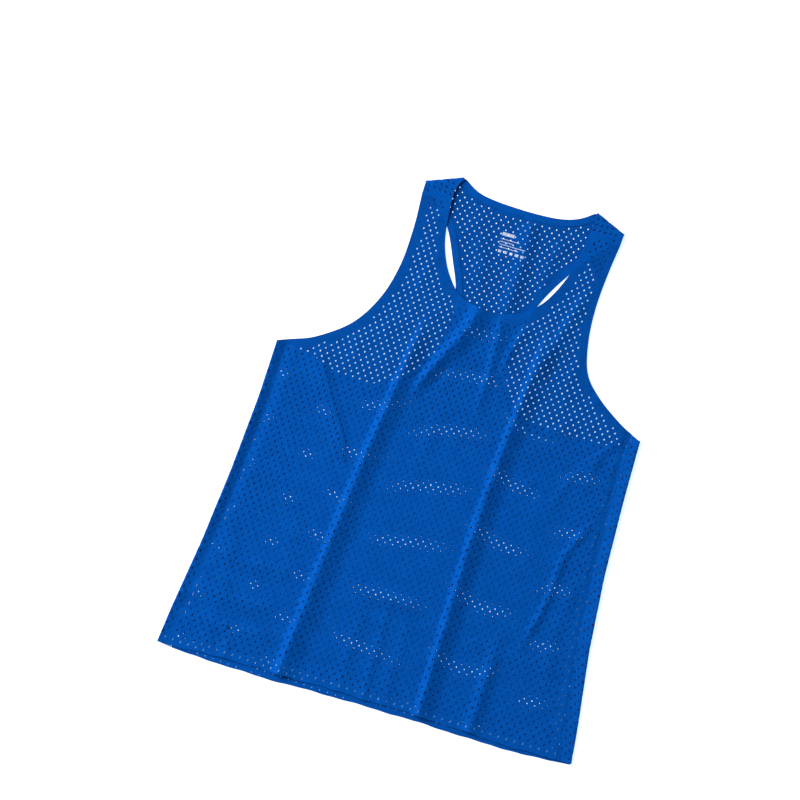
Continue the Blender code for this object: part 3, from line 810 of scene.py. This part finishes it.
def shell(name, flat, laid, normals, solid, blind, offsets, rims, materials, kinds=1, tones=0,
          closed_above=False):
    """A closed piece of cloth between two offsets from the laid surface along its normals.

    solid are the triangles of both faces, and tones the materials of the upper one. blind are
    the ones that only the lower face has, under holes with a floor of film or of painted shade,
    or only the upper one where closed_above is set. kinds are the materials of these floors:
    bonding film, or a dark sheet that is painted shade. rims are points that lie a little inside
    both faces.
    """
    top, bottom = max(offsets), min(offsets)
    chamfer = np.where(rims, RIM_CHAMFER, 0.0)
    has_floor = np.zeros(len(laid), dtype=bool)
    has_floor[blind.ravel()] = True
    whole_above = has_floor & closed_above
    whole_below = has_floor & ~whole_above
    upper = laid + (top - np.where(whole_above, 0.0, chamfer))[:, None] * normals
    lower = laid + (bottom + np.where(whole_below, 0.0, chamfer))[:, None] * normals
    floor = laid + (top - FILM_DEPTH if closed_above else bottom + FILM_DEPTH) * normals
    count = len(laid)
    top_uv = flat - flat.min(axis=0) + UV_MARGIN
    bottom_uv = top_uv + (np.ptp(flat[:, 0]) + 2 * UV_MARGIN, 0)

    edges = open_edges(solid)
    way = flat[edges[:, 1]] - flat[edges[:, 0]]
    way /= np.hypot(*way.T)[:, None]
    walls, wall_uvs = [], []
    for (a, b), outward in zip(edges, np.column_stack([way[:, 1], -way[:, 0]]) * WALL_SPREAD):
        is_blind = has_floor[a] and has_floor[b]
        head = 2 * count if is_blind and closed_above else 0
        foot = 2 * count if is_blind and not closed_above else count
        walls.append((b + head, a + head, a + foot, b + foot))
        wall_uvs.append((top_uv[b], top_uv[a], top_uv[a] + outward, top_uv[b] + outward))

    both = np.vstack([solid, blind])
    over, under = (both, solid[:, ::-1]) if closed_above else (solid, both[:, ::-1])
    film_faces, film_uv = (blind[:, ::-1], bottom_uv) if closed_above else (blind, top_uv)
    groups = [over, under + count, np.array(walls), film_faces + 2 * count]
    uvs = np.vstack([top_uv[over.ravel()], bottom_uv[under.ravel()],
                     np.array(wall_uvs).reshape(-1, 2), film_uv[film_faces.ravel()]])
    used = np.unique(np.concatenate([group.ravel() for group in groups]))
    number = np.zeros(3 * count, dtype=int)
    number[used] = np.arange(len(used))
    faces = [face for group in groups for face in number[group].tolist()]
    points = np.vstack([upper, lower, floor])[used]
    mesh = bpy.data.meshes.new(name)
    mesh.from_pydata((points - BOX_MIDDLE) * MM, [], faces)
    for material in materials:
        mesh.materials.append(material)
    indices = np.zeros(len(faces), dtype=np.int32)
    indices[:len(solid)] = tones
    indices[len(faces) - len(blind):] = kinds
    mesh.polygons.foreach_set("material_index", indices)
    layer = mesh.uv_layers.new(name="OFBake")
    layer.data.foreach_set("uv", (uvs / UV_SPAN).astype(np.float32).ravel())
    mesh.shade_smooth()
    mesh.set_sharp_from_angle(angle=SHARP_ANGLE)
    mesh.update()
    thing = bpy.data.objects.new(name, mesh)
    bpy.context.scene.collection.objects.link(thing)
    return thing


def pattern_area(flat, triangles):
    a, b, c = (flat[triangles[:, i]] for i in range(3))
    return abs(np.cross(b - a, c - a)).sum() / 2


# ---- materials ----

BLUE = (0.0, 0.094, 0.46)
BLUE_DEEP = (0.0, 0.062, 0.325)
FILM = (0.16, 0.42, 0.86)
FILM_DIM = (0.03, 0.17, 0.50)
# a near-black sheet at the bottom of holes, which is painted shade
HOLE_SHADE_TONE = (0.0, 0.014, 0.09)
# materials of a panel: a dimmer film behind its holes, a near-black sheet behind them that is
# painted shade, the knit alone on the floor painted darker as shade, knit behind its holes
DIM, SHADE_SHEET, LONE, LAPPED = 1, 2, 3, 4
# the knit alone on the floor is painted this much darker, as shade
LONE_PAINTED_SHADE = 0.87
FACING_LIGHT = 0.93
MARK = (0.62, 0.72, 0.88)

# a plain print inside the back's neck: boxes as their middle and half their size
MARK_BOXES = [((9.3, 294.0), (8.2, 2.2)), ((13.5, 287.3), (12.5, 0.45)),
              ((9.5, 283.6), (8.5, 0.45)), ((18.5, 279.9), (17.5, 0.45)),
              ((14.0, 276.3), (13.0, 0.45))]
MARK_DOTS = ((19.0, 271.0), (19.0, 1.7))
MARK_DOT_SPACING = 7.6
MARK_DOT_HALF = 2.1

# The back's inner face: how much painted shade darkens it in the neck opening, how much painted
# light lightens it under the front and at the hem, and the levels between these.
INNER_MAP_END = 620.0
INNER_NECK = 184.0
INNER_NECK_SOFT = 15.0
INNER_HEM = -338.0
INNER_HEM_SOFT = 5.0
NECK_PAINTED_SHADE = 0.16
COVERED_PAINTED_LIGHT = 0.9
HEM_PAINTED_LIGHT = 0.1

WALE = 0.75  # width of a column of the knit's stitches
COURSE = 0.55  # and height of a row


def times(factor, colour):
    return tuple(factor * part for part in colour)


class Shader:
    """A material, with a short word for each kind of node that it is made of."""

    def __init__(self, name):
        self.material = bpy.data.materials.new(name)
        self.material.use_nodes = True
        self.tree = self.material.node_tree
        self.inputs = self.tree.nodes["Principled BSDF"].inputs

    def feed(self, socket, value):
        """Gives a socket a value, a colour or another node's output."""
        if isinstance(value, bpy.types.NodeSocket):
            self.tree.links.new(value, socket)
        else:
            socket.default_value = (*value, 1.0) if socket.type == "RGBA" else value

    def give(self, name, value):
        self.feed(self.inputs[name], value)

    def node(self, kind, values, output=0, **settings):
        """An output of a new node, given values by the numbers or names of its sockets."""
        made = self.tree.nodes.new("ShaderNode" + kind)
        for name, value in settings.items():
            setattr(made, name, value)
        for socket, value in values.items():
            self.feed(made.inputs[socket], value)
        return made.outputs[output]

    def maths(self, operation, first, second=0.0):
        return self.node("Math", {0: first, 1: second}, operation=operation)

    def scaled(self, vector, factor):
        return self.node("VectorMath", {0: vector, "Scale": factor}, operation="SCALE")

    def noise(self, vector, scale, detail=2.0):
        return self.node("TexNoise", {"Vector": vector, "Scale": scale, "Detail": detail})

    def stretched(self, vector, scale, turn):
        return self.node("Mapping", {"Vector": vector, "Scale": scale, "Rotation": (0, 0, turn)})

    def mix(self, share, first, second):
        return self.node("Mix", {0: share, 6: first, 7: second}, 2, data_type="RGBA")

    def remap(self, value, *levels):
        """A value that lies between the first two levels, put between the other two."""
        return self.node("MapRange", dict(enumerate((value, *levels))))

    def relief(self, height, strength, distance):
        values = {"Height": height, "Strength": strength, "Distance": distance}
        self.give("Normal", self.node("Bump", values))

    def place(self):
        """Place in the pattern, in millimetres."""
        return self.scaled(self.node("UVMap", {}, uv_map="OFBake"), UV_SPAN)


def box_mask(shader, place, middle, half):
    """1 inside a box of the pattern, else 0."""
    maths = shader.maths
    beyond = [maths("SUBTRACT", maths("ABSOLUTE", maths("SUBTRACT", at, centre)), reach)
              for at, centre, reach in zip(place, middle, half)]
    return maths("LESS_THAN", maths("MAXIMUM", *beyond), 0.0)


def mark_mask(shader, place, shift):
    """The print: a bar, four thin rules and a row of dots."""
    maths = shader.maths
    masks = [box_mask(shader, place, np.add(middle, shift), half) for middle, half in MARK_BOXES]
    middle, half = MARK_DOTS
    row = box_mask(shader, place, np.add(middle, shift), half)
    start = middle[0] + shift[0] - half[0]
    phase = maths("MODULO", maths("SUBTRACT", place[0], start), MARK_DOT_SPACING)
    off = maths("ABSOLUTE", maths("SUBTRACT", phase, MARK_DOT_SPACING / 2))
    mask = maths("MULTIPLY", row, maths("LESS_THAN", off, MARK_DOT_HALF))
    for other in masks:
        mask = maths("MAXIMUM", mask, other)
    return mask


def inner_face(shader, colour, streaky, place, shift):
    """The colour of the back's face that lies up, with the print in its neck, with painted shade
    in the neck opening and painted light under the front and at the hem.
    """
    maths, remap = shader.maths, shader.remap
    x, y = place
    neck, low = (shift[1] + level for level in (INNER_NECK, INNER_HEM))
    covered = remap(y, neck, neck - INNER_NECK_SOFT, -NECK_PAINTED_SHADE, COVERED_PAINTED_LIGHT)
    hem = remap(y, low, low - INNER_HEM_SOFT, 0.0, COVERED_PAINTED_LIGHT - HEM_PAINTED_LIGHT)
    # painted light under the front and at the hem, painted shade in the neck opening
    painted_light_and_shade = maths("MULTIPLY", maths("LESS_THAN", x, INNER_MAP_END), maths("SUBTRACT", covered, hem))
    worn_ink = remap(streaky, 0.3, 0.7, 0.6, 0.95)
    return shader.mix(maths("MULTIPLY", mark_mask(shader, place, shift), worn_ink),
                      shader.scaled(colour, maths("ADD", painted_light_and_shade, 1.0)), MARK)


def knit_material(name, light, deep, shift=None):
    """Matte polyester knit: wales and courses in relief, uneven dye, and a painted highlight on the
    tops of its loops.
    """
    shader = Shader(name)
    maths, remap = shader.maths, shader.remap
    place = shader.place()
    x, y = (shader.node("SeparateXYZ", {0: place}, number) for number in (0, 1))
    wale = maths("SINE", maths("MULTIPLY", x, math.pi / WALE))
    course = maths("SINE", maths("MULTIPLY", y, math.pi / COURSE))
    loops = maths("MULTIPLY", maths("ABSOLUTE", wale), remap(course, -1.0, 1.0, 0.55, 1.0))
    cloudy = shader.noise(place, 0.045, 4.0)
    streaky = shader.noise(shader.stretched(place, (1.0, 0.45, 1.0), 0.12), 0.42, 3.0)
    slanting = shader.noise(shader.stretched(place, (0.5, 2.0, 1.0), 0.75), 0.3)
    uneven = maths("ADD", maths("MULTIPLY", cloudy, 0.3),
                   maths("ADD", maths("MULTIPLY", streaky, 0.35),
                         maths("MULTIPLY", slanting, 0.35)))
    colour = shader.mix(remap(uneven, 0.35, 0.65, 0.0, 1.0), deep, light)
    # painted highlight: the tops of the knit's loops a little lighter
    loop_highlight = tuple(min(1.0, part) for part in times(1.5, light))
    colour = shader.mix(maths("MULTIPLY", loops, 0.10), colour, loop_highlight)
    if shift is not None:
        colour = inner_face(shader, colour, streaky, (x, y), shift)
    shader.give("Base Color", colour)
    shader.give("Roughness", remap(streaky, 0.3, 0.7, 0.72, 0.86))
    shader.give("Specular IOR Level", 0.03)
    ribs = maths("ADD", maths("MULTIPLY", streaky, 3.0), maths("MULTIPLY", slanting, 4.0))
    shader.relief(maths("ADD", loops, ribs), 0.8, 0.0002)
    return shader.material


def film_material(name, tone):
    """The film that bonds two layers of cloth, seen at the bottom of a hole. In a near-black tone
    it is instead a sheet of painted shade.
    """
    shader = Shader(name)
    place = shader.place()
    cloudy = shader.noise(place, 0.3)
    share = shader.remap(cloudy, 0.35, 0.65, 0.0, 1.0)
    shader.give("Base Color", shader.mix(share, tone, times(0.75, tone)))
    shader.give("Roughness", shader.remap(cloudy, 0.3, 0.7, 0.35, 0.5))
    shader.give("Specular IOR Level", 0.1)
    shader.relief(shader.noise(place, 1.5), 0.3, 0.0001)
    return shader.material


# ---- the cloth ----

knit = knit_material("singlet_knit", BLUE, BLUE_DEEP)
# a darker copy of the knit, painted shade, for the front where it lies alone on the floor
knit_lone_painted_shade = knit_material("lone_knit_painted_shade", times(LONE_PAINTED_SHADE, BLUE), times(LONE_PAINTED_SHADE, BLUE_DEEP))
knit_inside = knit_material("facing_knit", times(FACING_LIGHT, BLUE), BLUE_DEEP)
film = film_material("bonding_film", FILM)
film_dim = film_material("bonding_film_dim", FILM_DIM)
# painted shade in holes: a near-black sheet at their bottom
painted_hole_shade = film_material("bonding_film_dark", HOLE_SHADE_TONE)

# the strips inside a panel's edges: the stretch, the last part of the piece's name, the width
FACINGS = [("hem", "hem_inside", HEM_FACING),
           ("armhole_right", "armhole_inside_right", ARMHOLE_FACING),
           ("neck", "neck_inside", NECK_FACING),
           ("armhole_left", "armhole_inside_left", ARMHOLE_FACING)]

# where the mesh has points besides the ones of outlines, holes, folds and rolls
BAND_LINES = (3.0, 6.0, 9.3)
SHOULDER_LINES = (3.5, 7.0)
EDGE_ROOM = 1.2
SPOTS_X = np.arange(-285, 290, 9.0)
SPOTS_Y = np.arange(-355, 400, 9.0)


def along_bands(stretches):
    """Points inside the facings' width, where there are no holes."""
    points = []
    for name, line in stretches.items():
        if name == "neck" or name.startswith("armhole"):
            points += [inset_line(line, width) for width in BAND_LINES]
        if name.startswith("shoulder"):
            parts = round(np.hypot(*(line[1] - line[0])) / CURVE_STEP)
            dense = line[0] + np.linspace(0, 1, parts + 1)[:, None] * (line[1] - line[0])
            points += [inset_line(dense, width) for width in SHOULDER_LINES]
    return np.vstack(points)


def inner_points(points, outline, middles):
    """The points that lie inside an outline, clear of it and of the holes."""
    points = points[is_inside(points, outline)]
    points = points[line_distance(points, closed(outline)) > EDGE_ROOM]
    return clear_of_holes(points, middles)


def is_lone(points):
    """Whether each point of the front lies alone on the floor, with no back under it."""
    return ~is_inside(points, back_outline) & (points[:, 1] > LONE_FROM)


def is_wrapped(points):
    """Whether each point of the back's pattern lies past the turn of its right side."""
    x, y = points.T
    return x > roll_start(1, y) + ON_WRAP


def behind_front(middles, stretches):
    """For each hole of the front the material right behind it, or 0 where it is open."""
    inward = middles[:, 0] - roll_start(-1, middles[:, 1])
    above_hem = line_distance(middles, stretches["hem"]) > HEM_FACING
    behind = np.zeros(len(middles), dtype=int)
    behind[(inward > UNDER_LAP[0]) & (inward < UNDER_LAP[1]) & above_hem] = LAPPED
    behind[(line_distance(middles, stretches["side_right"]) < SEAM_ALLOWANCE) & above_hem] = DIM
    # on the roll and where the straps' layers cover each other, the holes get the sheet of painted
    # shade
    behind[(inward > ON_ROLL[0]) & (inward < ON_ROLL[1]) & above_hem] = SHADE_SHEET
    behind[on_strap_top(middles)] = SHADE_SHEET
    return behind


def panel(side, stretches, material, phases, shapes, turn, lay, inside, extra):
    """A panel of knit with its holes, and its area. Its inner face is up where inside is 1."""
    is_front = side == "front"
    outline = outline_of(stretches)
    middles = punched(stretches, phases)
    if is_front:
        halves = hole_halves(shapes, middles, is_lone(middles), LONE_HOLE)
        behind = behind_front(middles, stretches)
    else:
        halves = hole_halves(shapes, middles, is_wrapped(middles), WRAP_HOLE)
        # on the laps and the wrap, the back's holes get the sheet of painted shade
        behind = np.where(on_lap(middles) | is_wrapped(middles), SHADE_SHEET, 0)
    points = inner_points(np.vstack([along_bands(stretches), extra]), outline, middles)
    flat, triangles, areas = cut(outline, ovals(middles, halves, turn), points)
    in_hole = np.array([area[0] if area else -1 for area in areas])
    solid = triangles[in_hole < 0]
    is_blind = (in_hole >= 0) & (behind[in_hole] > 0)
    blind = triangles[is_blind]
    laid = lay(flat[:, 0], flat[:, 1])
    normals = vertex_normals(laid, np.vstack([solid, blind]))
    rims = np.zeros(len(flat), dtype=bool)
    rims[np.unique(triangles[in_hole >= 0])] = True
    # where the front lies alone on the floor, its upper face takes the copy with painted shade
    tones = np.where(is_lone(flat[solid].mean(axis=1)), LONE, 0) if is_front else 0
    offsets = (-inside * OUTER, -inside * (OUTER - CLOTH))
    cloth = shell(side + "_cloth", flat, laid, normals, solid, blind, offsets, rims,
                  [material, film_dim, painted_hole_shade, knit_lone_painted_shade, knit_inside],
                  behind[in_hole[is_blind]], tones, not is_front)
    return cloth, pattern_area(flat, triangles)


def strips_inside(side, stretches, shapes, turn, lay, inside, extra):
    """The strips bonded inside a panel's edges. The back's hem strip has the front's holes."""
    near = -inside * (OUTER - CLOTH - FACING_GAP)
    far = near + inside * FACING_CLOTH
    strips = [band(stretches[stretch], width) for stretch, _, width in FACINGS]
    middles = np.zeros((0, 2))
    if side == "back":
        middles = hole_middles(front_phases, strips[0].min(axis=0), strips[0].max(axis=0))
        middles = middles[is_inside(middles, strips[0])]
        middles = middles[line_distance(middles, closed(strips[0])) > STRIP_MARGIN]
    holes = list(ovals(middles, hole_halves(shapes, middles), turn))
    spots = np.array([(x, y) for x in SPOTS_X for y in SPOTS_Y])
    outline = outline_of(stretches)
    points = inner_points(np.vstack([spots, along_bands(stretches), extra]), outline, middles)
    flat, triangles, areas = cut(outline, strips + holes, points)
    laid = lay(flat[:, 0], flat[:, 1])
    normals = vertex_normals(laid, triangles)
    no_rims = np.zeros(len(flat), dtype=bool)
    is_hole = np.array([max(area, default=0) >= len(strips) for area in areas])
    made = []
    for number, (_, end_of_name, _) in enumerate(FACINGS):
        here = np.array([number in area for area in areas])
        name = side + "_" + end_of_name
        materials = [film] if name == "front_hem_inside" else [knit_inside, film]
        made.append(shell(name, flat, laid, normals, triangles[here & ~is_hole],
                          triangles[here & is_hole], (near, far), no_rims, materials))
    return made


back_stretches = back_pattern()
back_outline = outline_of(back_stretches)
# its inner face has painted shade in the neck opening and painted light under the front and at the
# hem
knit_back = knit_material("back_knit", BLUE, BLUE_DEEP, UV_MARGIN - back_outline.min(axis=0))

# a panel, its outline, what it rests on, its knit and the phases of its holes, and the rest
# that the panel and its strips share
PANELS = [
    ("back", back_stretches, "floor", knit_back, back_phases,
     (BACK_HOLES, BACK_HOLE_TURN, lay_back, 1, np.vstack([roll_points(1), shoulder_points()]))),
    ("front", front_pattern(), "back_cloth", knit, front_phases,
     (FRONT_HOLES, FRONT_HOLE_TURN, lay_front, -1, np.vstack([roll_points(-1), fold_points()]))),
]

for side, stretches, below, material, phases, shared in PANELS:
    cloth, area = panel(side, stretches, material, phases, *shared)
    strips = strips_inside(side, stretches, *shared)
    for thing in [cloth] + strips:
        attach(thing, "root")
        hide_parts(thing.name.replace("cloth", "panel").replace("inside", "facing"))
    width, length = np.ptp(outline_of(stretches), axis=0) * MM


# ---- floor, light and camera ----

def floor_material():
    """Its own light and the lamp's together make it white, and its shadows bluish."""
    shader = Shader("pale_floor")
    shader.give("Base Color", (0.92, 0.60, 0.45))
    shader.give("Roughness", 0.9)
    shader.give("Specular IOR Level", 0.1)
    shader.give("Emission Color", (0.63, 0.84, 1.0))
    shader.give("Emission Strength", 0.98)
    return shader.material


FLOOR_SIZE = 40.0
bpy.ops.mesh.primitive_plane_add(size=FLOOR_SIZE, location=(0, 0, 0))
floor = bpy.context.object
floor.name = "floor"
floor.data.materials.append(floor_material())

world = bpy.data.worlds.new("studio")
world.use_nodes = True
world.node_tree.nodes["Background"].inputs[0].default_value = (1.0, 1.0, 1.0, 1.0)
world.node_tree.nodes["Background"].inputs[1].default_value = 0.27
bpy.context.scene.world = world


KEY_FROM = math.radians(160)  # where the light comes from, anticlockwise from the right
KEY_ELEVATION = math.radians(34)
KEY_DISTANCE = 5.0
KEY_SIZE = 3.2
KEY_POWER = 405.0
key_data = bpy.data.lights.new("key", "AREA")
key_data.energy = KEY_POWER
key_data.size = KEY_SIZE
key = bpy.data.objects.new("key", key_data)
key_way = Vector((math.cos(KEY_FROM) * math.cos(KEY_ELEVATION),
                  math.sin(KEY_FROM) * math.cos(KEY_ELEVATION), math.sin(KEY_ELEVATION)))
key.location = key_way * KEY_DISTANCE
key.rotation_euler = (-key_way).to_track_quat("-Z", "Y").to_euler()
bpy.context.scene.collection.objects.link(key)

PHOTO_TURN = math.radians(16.3)
PHOTO_MIDDLE = (-0.06625, 0.04683)
PHOTO_WIDTH = 1.0488
camera_data = bpy.data.cameras.new("camera")
camera_data.type = "ORTHO"
camera_data.ortho_scale = PHOTO_WIDTH
camera_data.clip_end = 50.0
camera = bpy.data.objects.new("camera", camera_data)
camera.location = (*PHOTO_MIDDLE, 2.0)
camera.rotation_euler = (0, 0, PHOTO_TURN)
bpy.context.scene.collection.objects.link(camera)
bpy.context.scene.camera = camera
bpy.context.scene.view_settings.view_transform = "Standard"
